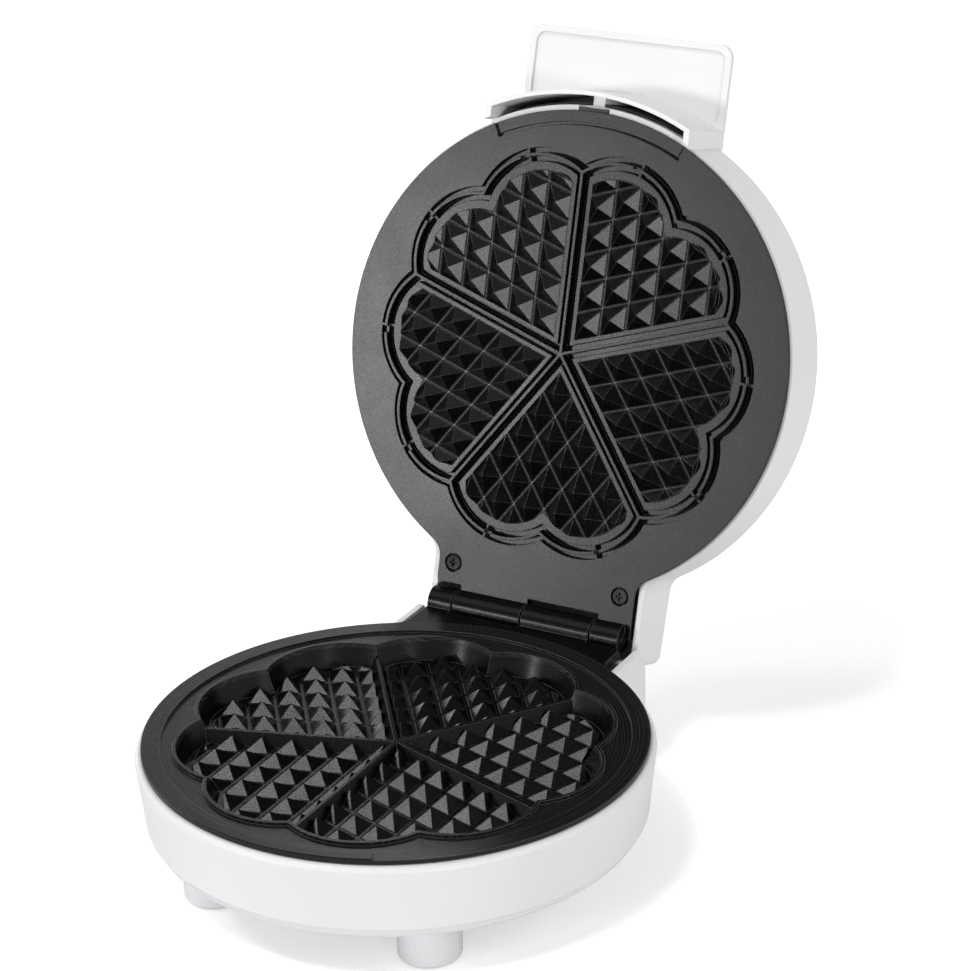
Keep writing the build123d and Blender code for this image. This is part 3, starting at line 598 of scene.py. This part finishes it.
@dataclass(frozen=True)
class Metal(Finish):
    """Bare or plated metal with drawn streaks."""

    label: str
    colour: Colour = (0.62, 0.615, 0.6)
    shade: Colour = (0.42, 0.415, 0.41)
    roughness: float = 0.3
    streak: Point = (60.0, 1800.0, 1800.0)
    streak_depth: float = 0.00001
    streak_gloss: float = 0.12
    cloud: float = 120.0
    clouds: tuple[float, float] = (0.35, 0.75)
    cloud_gloss: float = 0.08

    def sockets(self, bench: PaintBench) -> dict[str | int, object]:
        """Metal with streaks along one axis and dull patches.

        Args:
            bench: Bench of the material's tree.

        Returns:
            Inputs of the shader, by name.
        """
        sockets = {"Vector": bench.along(self.streak), "Scale": 1.0, "Detail": 2.0}
        streak = bench.node("ShaderNodeTexNoise", {}, sockets)
        cloud = bench.noise(self.cloud, detail=3.0)
        return {
            "Base Color": bench.blend(cloud.spread(*self.clouds), self.colour, self.shade),
            "Metallic": 1.0,
            "Roughness": self.roughness + streak * self.streak_gloss + cloud * self.cloud_gloss,
            "Normal": bench.bump(streak, self.streak_depth),
        }


@dataclass(frozen=True)
class SoftRubber(Finish):
    """Matt rubber with a fine moulded grain."""

    label: str
    colour: Colour = (0.045, 0.045, 0.048)
    dust: Colour = (0.11, 0.11, 0.11)
    roughness: float = 0.72
    grain: float = 1600.0
    grain_depth: float = 0.00004
    grain_gloss: float = 0.15
    cloud: float = 90.0
    clouds: tuple[float, float] = (0.45, 0.8)
    dust_share: float = 0.4

    def sockets(self, bench: PaintBench) -> dict[str | int, object]:
        """Rubber with grain and a trace of dust.

        Args:
            bench: Bench of the material's tree.

        Returns:
            Inputs of the shader, by name.
        """
        grain = bench.noise(self.grain)
        cloud = bench.noise(self.cloud, detail=3.0)
        dusty = cloud.spread(*self.clouds) * self.dust_share
        return {
            "Base Color": bench.blend(dusty, self.colour, self.dust),
            "Roughness": self.roughness + grain * self.grain_gloss,
            "Normal": bench.bump(grain, self.grain_depth),
        }


@dataclass(frozen=True)
class ClearTint(Finish):
    """Clear tinted moulding or glass, a little cloudy inside."""

    label: str
    colour: Colour = (0.6, 0.02, 0.02)
    deep: Colour = (0.3, 0.01, 0.01)
    clearness: float = 0.55
    roughness: float = 0.08
    refraction: float = 1.49
    cloud: float = 400.0
    clouds: tuple[float, float] = (0.3, 0.7)
    cloud_gloss: float = 0.06

    def sockets(self, bench: PaintBench) -> dict[str | int, object]:
        """Clear plastic with depth in its colour.

        Args:
            bench: Bench of the material's tree.

        Returns:
            Inputs of the shader, by name.
        """
        cloud = bench.noise(self.cloud)
        return {
            "Base Color": bench.blend(cloud.spread(*self.clouds), self.colour, self.deep),
            "Roughness": self.roughness + cloud * self.cloud_gloss,
            "IOR": self.refraction,
            "Transmission Weight": self.clearness,
        }


COATING = NonStick("nonstick_coating")
# The lower plate's coating, with lathe streaks and a sheen painted on its rim.
TURNED_SHEEN_COATING = NonStick("turned_nonstick_coating_sheen", turned_depth=0.00002)
WHITE_GLOSS = Moulded("white_housing_gloss")
WHITE_MATT = Moulded(
    "white_cover_matt", colour=(0.76, 0.77, 0.785), gloss=0.4, texture=1500.0, texture_depth=0.00003
)
# Black for the insert in the hollow under the lid's handle, which stands in for the shade there:
# painted shade.
HOLLOW_SHADE_BLACK = Moulded(
    "hollow_shade_black", colour=(0.012, 0.012, 0.013), gloss=0.5, texture=1400.0, texture_depth=0.00004
)
HEAT_PLASTIC = Moulded(
    "heat_plastic", colour=(0.62, 0.58, 0.48), gloss=0.45, texture=1200.0, texture_depth=0.00004
)
SLEEVE = Moulded(
    "glass_sleeve", colour=(0.66, 0.61, 0.5), gloss=0.7, texture=900.0, texture_depth=0.0001
)
PLATED = Metal("zinc_plated")
BLACKENED = Metal(
    "blackened_steel", colour=(0.03, 0.03, 0.032), shade=(0.015, 0.015, 0.016), roughness=0.34
)
SHEATH = Metal("heater_sheath", colour=(0.2, 0.18, 0.165), shade=(0.1, 0.09, 0.085), roughness=0.42)
SHEET = Metal("aluminised_sheet", colour=(0.7, 0.7, 0.69), shade=(0.55, 0.55, 0.545), roughness=0.32)
RUBBER = SoftRubber("pad_rubber")
RED_CLEAR = ClearTint("red_clear")
GREEN_CLEAR = ClearTint("green_clear", colour=(0.04, 0.45, 0.1), deep=(0.015, 0.22, 0.05))
LAMP_GLASS = ClearTint("lamp_glass", colour=(0.95, 0.9, 0.85), deep=(0.85, 0.78, 0.7), clearness=0.95)


def dress(finish: Finish, *nodes: str) -> None:
    """Gives nodes of the frame a finish.

    Args:
        finish: Finish to give.
        nodes: Names of the nodes.
    """
    for name in nodes:
        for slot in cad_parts[name].material_slots:
            slot.material = finish.material()
        log.info("%s has %s", name, finish.label)


# ---------------------------------------------------------------------------- sub-assemblies


@dataclass
class Housing:
    """White mouldings: base, lid, bottom cover, feet and their pads."""

    gloss: tuple[str, ...] = ("base_shell", "lid_shell")
    matt: tuple[str, ...] = ("bottom_cover", "front_feet", "rear_feet")

    def build(self) -> None:
        """Dresses the housing."""
        dress(WHITE_GLOSS, *self.gloss)
        dress(WHITE_MATT, *self.matt)
        # The insert in the handle's hollow is dressed black: painted shade.
        dress(HOLLOW_SHADE_BLACK, "lip_guard")
        dress(RUBBER, "foot_pads")
        dress(PLATED, "foot_screws")


@dataclass(frozen=True)
class HeartLattice:
    """Pyramids of a plate, laid on a rhombic lattice in each of its hearts."""

    valley: float
    height: float
    lattice_start: float
    edge_gap: float
    field_lobe: float
    hearts: int = 5
    rows: int = 7
    side: float = 11.48 * MM
    tip: float = 0.3 * MM
    root: float = 0.4 * MM
    softness: float = 0.45 * MM
    lobe_orbit: float = 51.3 * MM

    def values(self) -> dict[str, object]:
        """Values of the tree's inputs.

        Returns:
            Value of each input, by its name.
        """
        return {
            "Hearts": self.hearts,
            "Rows": self.rows,
            "Cell Side": self.side,
            "Valley Width": self.valley,
            "Height": self.height,
            "Tip Side": self.tip,
            "Root Depth": self.root,
            "Edge Softness": self.softness,
            "Lattice Start": self.lattice_start,
            "Edge Gap": self.edge_gap,
            "Lobe Orbit": self.lobe_orbit,
            "Field Lobe": self.field_lobe,
        }

    def holds(self, point: Vector, slack: float = 0.03 * MM) -> bool:
        """Whether a point lies in the field of some heart, seen along the plate's axis.

        Args:
            point: Point in the plate's own frame.
            slack: Distance outside the field that still counts, in metres.

        Returns:
            Whether a field holds the point.
        """
        half = pi / self.hearts
        angle = Vector((point.x, point.y)).angle_signed(Vector((1.0, 0.0)), 0.0) + pi / 2
        reach = hypot(point.x, point.y)
        off = (angle % (2 * half)) - half
        along, aside = reach * cos(off), abs(reach * sin(off))
        if along * sin(half) - aside * cos(half) < self.edge_gap - slack:
            return False
        lobe = self.lobe_orbit * cos(half / 2), self.lobe_orbit * sin(half / 2)
        if reach < self.lobe_orbit + slack:
            return True
        return hypot(along - lobe[0], aside - lobe[1]) < self.field_lobe + slack


class LatticeBench(ShapeBench):
    """Tree that sets a plate's pyramids on a plate that has none."""

    LENGTHS = (
        "Cell Side",
        "Valley Width",
        "Height",
        "Tip Side",
        "Root Depth",
        "Edge Softness",
        "Lattice Start",
        "Edge Gap",
        "Lobe Orbit",
        "Field Lobe",
    )
    LOBE_SIDES = 96
    MIDDLE_SIDES = 144
    # Depth of a cutting drum against the pyramids, and reach of the wedge against the lobes' orbit.
    DRUM_DEPTH = 4
    WEDGE_REACH = 3
    # Length and half width of a three-sided drum with a radius of one.
    TRIANGLE_LENGTH = 1.5
    TRIANGLE_HALF_WIDTH = sin(pi / 3)

    def __init__(self) -> None:
        """Builds the whole tree."""
        kinds = {"Hearts": SizedInput.COUNT, "Rows": SizedInput.COUNT}
        kinds.update({name: SizedInput.LENGTH for name in self.LENGTHS})
        super().__init__("waffle_lattice", {**kinds, "Coating": SizedInput.COATING})
        self.half = self.maths("DIVIDE", pi, self.given("Hearts"))
        self.along_step = self.given("Cell Side") * self.maths("COSINE", self.half)
        self.aside_step = self.given("Cell Side") * self.maths("SINE", self.half)
        cut = self.overlap("INTERSECT", self._cells(), self._wedge(), self._lobes())
        heart = self.step("GeometryNodeSetShadeSmooth", cut, {"Shade Smooth": False})
        plate = Signal(self, self.start.outputs[0])
        joined = self.node("GeometryNodeJoinGeometry", {}, {})
        for shape in (self._around(heart), plate):
            self.tree.links.new(shape.socket, joined.socket.node.inputs[0])
        self.finish(joined, "Coating")

    def _pyramid(self) -> Signal:
        """One pyramid with softened ridges, standing on the plate with its root in it.

        Returns:
            The pyramid.
        """
        double = self.half * 2
        foot = self.given("Cell Side") - self.given("Valley Width") / self.maths("SINE", double)
        slope = (foot - self.given("Tip Side")) / self.given("Height")
        aside = self.maths("SINE", self.half)
        width = self.maths("COSINE", self.half) * 2
        kite = {"Width": width, "Bottom Height": aside, "Top Height": aside}
        outline = self.node("GeometryNodeCurvePrimitiveQuadrilateral", {"mode": "KITE"}, kite)
        corner = {"Count": 2, "Radius": self.given("Edge Softness") / foot}
        rounded = self.step("GeometryNodeFilletCurve", outline, corner, mode="POLY")
        ends = {
            "Start": self.vector(0.0, 0.0, self.given("Root Depth") * -1),
            "End": self.vector(0.0, 0.0, self.given("Height")),
        }
        rise = self.node("GeometryNodeCurvePrimitiveLine", {}, ends)
        share = self.node("GeometryNodeSplineParameter", {}, {}, "Factor")
        low = foot + slope * self.given("Root Depth")
        size = low + share * (self.given("Tip Side") - low)
        swept = {"Profile Curve": rounded, "Scale": size, "Fill Caps": True}
        return self.step("GeometryNodeCurveToMesh", rise, swept)

    def _cells(self) -> Signal:
        """Pyramids on every lattice point that the heart along +X can reach.

        Returns:
            The pyramids.
        """
        rows = self.given("Rows")
        index = self.node("GeometryNodeInputIndex", {}, {})
        row = self.maths("FLOOR", index / rows)
        place = index - row * rows
        x = self.given("Lattice Start") + (row + place + 1) * self.along_step
        y = (place - row) * self.aside_step
        spots = {"Count": rows * rows, "Position": self.vector(x, y, 0.0)}
        points = self.node("GeometryNodePoints", {}, spots)
        far = x.above(self.given("Lobe Orbit") + self.given("Field Lobe"))
        near = self.step("GeometryNodeDeleteGeometry", points, {"Selection": far})
        cells = self.step("GeometryNodeInstanceOnPoints", near, {"Instance": self._pyramid()})
        return self.step("GeometryNodeRealizeInstances", cells)

    def _drum(self, sides: int, radius: Signal | float) -> Signal:
        """Upright prism that stands well above and below the pyramids.

        Args:
            sides: Number of its sides.
            radius: Radius of its corners.

        Returns:
            The prism.
        """
        tall = (self.given("Height") + self.given("Root Depth")) * self.DRUM_DEPTH
        drum = {"Vertices": sides, "Radius": radius, "Depth": tall}
        return self.node("GeometryNodeMeshCylinder", {}, drum)

    def _wedge(self) -> Signal:
        """One heart's share of the plate, clear of its dividers by the edge gap.

        Returns:
            The wedge.
        """
        reach = self.given("Lobe Orbit") * self.WEDGE_REACH
        start = self.given("Edge Gap") / self.maths("SINE", self.half)
        long = reach / self.TRIANGLE_LENGTH
        wide = reach * self.maths("TANGENT", self.half) / self.TRIANGLE_HALF_WIDTH
        about = {"Rotation": Euler((0.0, 0.0, pi))}
        turned = self.step("GeometryNodeTransform", self._drum(3, 1.0), about)
        scale, shift = self.vector(long, wide, 1.0), self.vector(start + long, 0.0, 0.0)
        return self.step("GeometryNodeTransform", turned, {"Scale": scale, "Translation": shift})

    def _lobes(self) -> Signal:
        """Two lobes of the heart and the round middle of the plate.

        Returns:
            The joined shape.
        """
        quarter = self.half / 2
        orbit = self.given("Lobe Orbit")
        x, y = orbit * self.maths("COSINE", quarter), orbit * self.maths("SINE", quarter)
        lobe = self._drum(self.LOBE_SIDES, self.given("Field Lobe"))
        pair = [
            self.step("GeometryNodeTransform", lobe, {"Translation": self.vector(x, side, 0.0)})
            for side in (y, y * -1)
        ]
        return self.overlap("UNION", self._drum(self.MIDDLE_SIDES, orbit), *pair)

    def _around(self, heart: Signal) -> Signal:
        """The heart, repeated round the plate.

        Args:
            heart: Pyramids of the heart along +X.

        Returns:
            The pyramids of every heart.
        """
        index = self.node("GeometryNodeInputIndex", {}, {})
        turn = self.vector(0.0, 0.0, (index * 2 + 1) * self.half - pi / 2)
        places = self.node("GeometryNodePoints", {}, {"Count": self.given("Hearts")})
        spin = self.node("FunctionNodeEulerToRotation", {}, {"Euler": turn})
        return self.step("GeometryNodeInstanceOnPoints", places, {"Instance": heart, "Rotation": spin})


@dataclass(frozen=True)
class BakingPlate:
    """Cast plate with its pyramids, in its own frame: the floor of the hearts is at z = 0."""

    node: str
    body: Body
    lattice: HeartLattice
    place: Matrix
    coating: Finish
    crease: float = radians(32.0)
    merge: float = 0.002 * MM
    floor_band: float = 0.05 * MM

    def build(self, tree: LatticeBench) -> None:
        """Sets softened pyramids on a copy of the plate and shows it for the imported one.

        Args:
            tree: Tree that sets the pyramids.
        """
        bare = self._bare()
        mesh = tree.applied(bare, {**self.lattice.values(), "Coating": self.coating.material()})
        bpy.data.meshes.remove(bare)
        mesh.transform(self.place)
        mesh.name = f"{self.node}_coated"
        piece = bpy.data.objects.new(mesh.name, mesh)
        bpy.context.scene.collection.objects.link(piece)
        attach(piece, self.body.value)
        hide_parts(self.node)
        log.info("%s has %d faces", piece.name, len(mesh.polygons))

    def _bare(self) -> bpy.types.Mesh:
        """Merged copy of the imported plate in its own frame, with its hearts' floors made flat.

        Returns:
            The closed mesh.
        """
        shape = bmesh.new()
        shape.from_mesh(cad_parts[self.node].data)
        shape.transform(self.place.inverted())
        bmesh.ops.remove_doubles(shape, verts=shape.verts, dist=self.merge)
        band = self.floor_band
        held = {vert: vert.co.z > -band and self.lattice.holds(vert.co) for vert in shape.verts}
        proud = [
            face
            for face in shape.faces
            if all(held[vert] for vert in face.verts) and any(vert.co.z > band for vert in face.verts)
        ]
        log.info("%s: %d faces of pyramids taken off", self.node, len(proud))
        bmesh.ops.delete(shape, geom=proud, context="FACES")
        rims = [edge for edge in shape.edges if edge.is_boundary]
        bmesh.ops.holes_fill(shape, edges=rims, sides=0)
        # Rims that the first fill passes over are closed as loops.
        left = [edge for edge in shape.edges if edge.is_boundary]
        bmesh.ops.edgeloop_fill(shape, edges=left)
        bmesh.ops.recalc_face_normals(shape, faces=shape.faces)
        for face in shape.faces:
            face.smooth = True
        mesh = bpy.data.meshes.new(self.node)
        shape.to_mesh(mesh)
        shape.free()
        if "custom_normal" in mesh.attributes:
            mesh.attributes.remove(mesh.attributes["custom_normal"])
        mesh.set_sharp_from_angle(angle=self.crease)
        return mesh


def lower_place() -> Matrix:
    """Place of the lower plate's heart floors in the frame."""
    return Matrix.Translation(PLATES_CENTRE + LOWER_FACE)


def upper_place() -> Matrix:
    """Place of the upper plate's face in the frame, with the lid open.

    Returns:
        The place.
    """
    hinge = PLATES_CENTRE + HINGE_OFFSET
    swing = Matrix.Rotation(-LID_ANGLE, 4, "X")
    opened = Matrix.Translation(hinge) @ swing @ Matrix.Translation(-hinge)
    face = PLATES_CENTRE + UPPER_FACE
    return opened @ Matrix.Translation(face) @ Matrix.Rotation(pi, 4, "Y")


@dataclass
class BakingPlates:
    """The two coated plates with their hinge knuckles and the screws that show."""

    def build(self) -> None:
        """Builds the plates and dresses their screws and pin."""
        tree = LatticeBench()
        lower = HeartLattice(
            valley=1.25 * MM,
            height=4.27 * MM,
            lattice_start=-3.81 * MM,
            edge_gap=2.9 * MM,
            field_lobe=24.2 * MM,
        )
        upper = HeartLattice(
            valley=0.85 * MM,
            height=3.9 * MM,
            lattice_start=6.39 * MM,
            edge_gap=4.4 * MM,
            field_lobe=21.4 * MM,
        )
        BakingPlate("lower_plate", Body.BASE, lower, lower_place(), TURNED_SHEEN_COATING).build(tree)
        BakingPlate("upper_plate", Body.LID, upper, upper_place(), COATING).build(tree)
        dress(BLACKENED, "upper_plate_screws")
        dress(PLATED, "hinge_pin", "lower_plate_screws")


@dataclass
class Heating:
    """Heaters, reflectors and controls behind the plates."""

    def build(self) -> None:
        """Dresses what is behind the plates."""
        dress(SHEATH, "lower_heater", "upper_heater")
        dress(SHEET, "lower_reflector", "upper_reflector", "fuse_clip", "thermostat")
        dress(PLATED, "lower_reflector_screws", "upper_reflector_screws", "thermostat_screws")
        dress(HEAT_PLASTIC, "terminal_block", "lamp_holder")
        dress(SLEEVE, "thermal_fuse")
        dress(RED_CLEAR, "power_lens")
        dress(GREEN_CLEAR, "ready_lens")
        dress(LAMP_GLASS, "lamps")


# ---------------------------------------------------------------------------- studio


@dataclass(frozen=True)
class SoftLamp:
    """Distant soft lamp, with its angles in degrees."""

    name: str
    azimuth: float
    elevation: float
    level: float
    spread: float

    def build(self) -> None:
        """Hangs the lamp, which shines from its azimuth towards the object."""
        data = bpy.data.lights.new(self.name, "SUN")
        data.energy = self.level * pi
        data.angle = radians(self.spread)
        lamp = bpy.data.objects.new(self.name, data)
        bpy.context.scene.collection.objects.link(lamp)
        side, lift = radians(self.azimuth), radians(self.elevation)
        away = Vector((sin(side) * cos(lift), -cos(side) * cos(lift), sin(lift)))
        lamp.rotation_euler = away.to_track_quat("Z", "Y").to_euler()


@dataclass
class Studio:
    """Pale floor, white surroundings, soft lamps and the camera, with its angles in degrees."""

    look: Point = (0.039806, -0.052583, 0.157027)
    distance: float = 1.08357
    azimuth: float = 28.921
    elevation: float = 23.037
    roll: float = -1.245
    lens: float = 114.96
    sensor: float = 36.0
    floor_half: float = 4.0
    floor_shade: float = 0.9
    floor_glow: float = 0.42
    sky_level: float = 0.29
    ceiling: float = 0.16
    ceiling_fade: tuple[float, float] = (0.3, 0.5)
    lamps: tuple[SoftLamp, ...] = (
        SoftLamp("front_left_lamp", -29.0, 8.0, 0.26, 7.2),
        SoftLamp("right_lamp", 50.0, 6.5, 0.26, 8.0),
        SoftLamp("right_fill_lamp", 97.0, 36.0, 0.19, 30.0),
        SoftLamp("left_lamp", -75.0, 39.0, 0.15, 7.6),
        SoftLamp("top_lamp", -13.0, 63.0, 0.2, 7.6),
        SoftLamp("soft_lamp", -53.0, 60.0, 0.12, 40.0),
        SoftLamp("rear_left_lamp", -118.0, 5.0, 0.06, 12.0),
        SoftLamp("rear_lamp", -151.0, 35.0, 0.05, 8.0),
    )

    def build(self) -> None:
        """Sets up everything round the object."""
        self._floor()
        self._world()
        for lamp in self.lamps:
            lamp.build()
        self._camera()
        bpy.context.scene.view_settings.view_transform = "Standard"
        log.info("studio with %d lamps", len(self.lamps))

    def _floor(self) -> None:
        """Lays the floor on the plane that the feet stand on."""
        half = self.floor_half
        mesh = bpy.data.meshes.new("studio_floor")
        corners = [(-half, -half, 0.0), (half, -half, 0.0), (half, half, 0.0), (-half, half, 0.0)]
        mesh.from_pydata(corners, [], [(0, 1, 2, 3)])
        floor = bpy.data.objects.new("studio_floor", mesh)
        bpy.context.scene.collection.objects.link(floor)
        paint = bpy.data.materials.new("studio_white")
        paint.use_nodes = True
        bench = PaintBench(paint.node_tree)
        seen = bench.node("ShaderNodeLightPath", {}, {}, "Is Camera Ray")
        matt = bench.node("ShaderNodeBsdfDiffuse", {}, {"Color": (self.floor_shade,) * 3})
        light = {"Color": WHITE, "Strength": seen * self.floor_glow}
        glow = bench.node("ShaderNodeEmission", {}, light)
        both = bench.node("ShaderNodeAddShader", {}, {0: matt, 1: glow})
        output = bench.tree.nodes.new("ShaderNodeOutputMaterial")
        bench.feed(output.inputs["Surface"], both)
        mesh.materials.append(paint)
        floor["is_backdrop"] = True

    def _world(self) -> None:
        """White surroundings for the eye, dimmer overhead for gloss, and a plain level for the rest."""
        world = bpy.data.worlds.new("studio_surroundings")
        bpy.context.scene.world = world
        world.use_nodes = True
        bench = PaintBench(world.node_tree)
        path = bench.node("ShaderNodeLightPath", {}, {}, "Is Camera Ray")
        rays = path.socket.node.outputs
        glossy = Signal(bench, rays["Is Glossy Ray"])
        through = Signal(bench, rays["Is Transmission Ray"])
        shiny = bench.maths("MAXIMUM", glossy, through)
        direction = bench.node("ShaderNodeTexCoord", {}, {}, "Generated")
        upward = bench.node("ShaderNodeSeparateXYZ", {}, {0: direction}, "Z")
        mirrored = shiny * upward.spread(*self.ceiling_fade, 1.0, self.ceiling)
        shown = bench.maths("MAXIMUM", path, mirrored)
        lighting = (1 - bench.maths("MAXIMUM", path, shiny)) * self.sky_level
        sky = bench.node("ShaderNodeBackground", {}, {"Color": WHITE, "Strength": shown + lighting})
        output = bench.tree.nodes.new("ShaderNodeOutputWorld")
        bench.feed(output.inputs["Surface"], sky)

    def _camera(self) -> None:
        """Puts the camera at its angle and makes it the scene's."""
        side, lift, turn = radians(self.azimuth), radians(self.elevation), radians(self.roll)
        back = Vector((sin(side) * cos(lift), -cos(side) * cos(lift), sin(lift)))
        right = Vector((cos(side), sin(side), 0.0))
        above = back.cross(right)
        across = right * cos(turn) + above * sin(turn)
        upward = above * cos(turn) - right * sin(turn)
        data = bpy.data.cameras.new("studio_camera")
        data.sensor_fit = "HORIZONTAL"
        data.sensor_width = self.sensor
        data.lens = self.lens
        camera = bpy.data.objects.new("studio_camera", data)
        bpy.context.scene.collection.objects.link(camera)
        place = Matrix((across, upward, back)).transposed().to_4x4()
        place.translation = Vector(self.look) + back * self.distance
        camera.matrix_world = place
        bpy.context.scene.camera = camera


def corners() -> list[list[float]]:
    """Lowest and highest corner of the shown object as plain lists."""
    return [[float(part) for part in corner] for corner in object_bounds()]


def main() -> None:
    """Builds every sub-assembly in order."""
    logging.basicConfig(level=logging.INFO, format="%(name)s %(message)s")
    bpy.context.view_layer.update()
    for assembly in (Housing(), BakingPlates(), Heating(), Studio()):
        assembly.build()
        log.info("%s built", type(assembly).__name__)


if __name__ == "__main__":
    main()
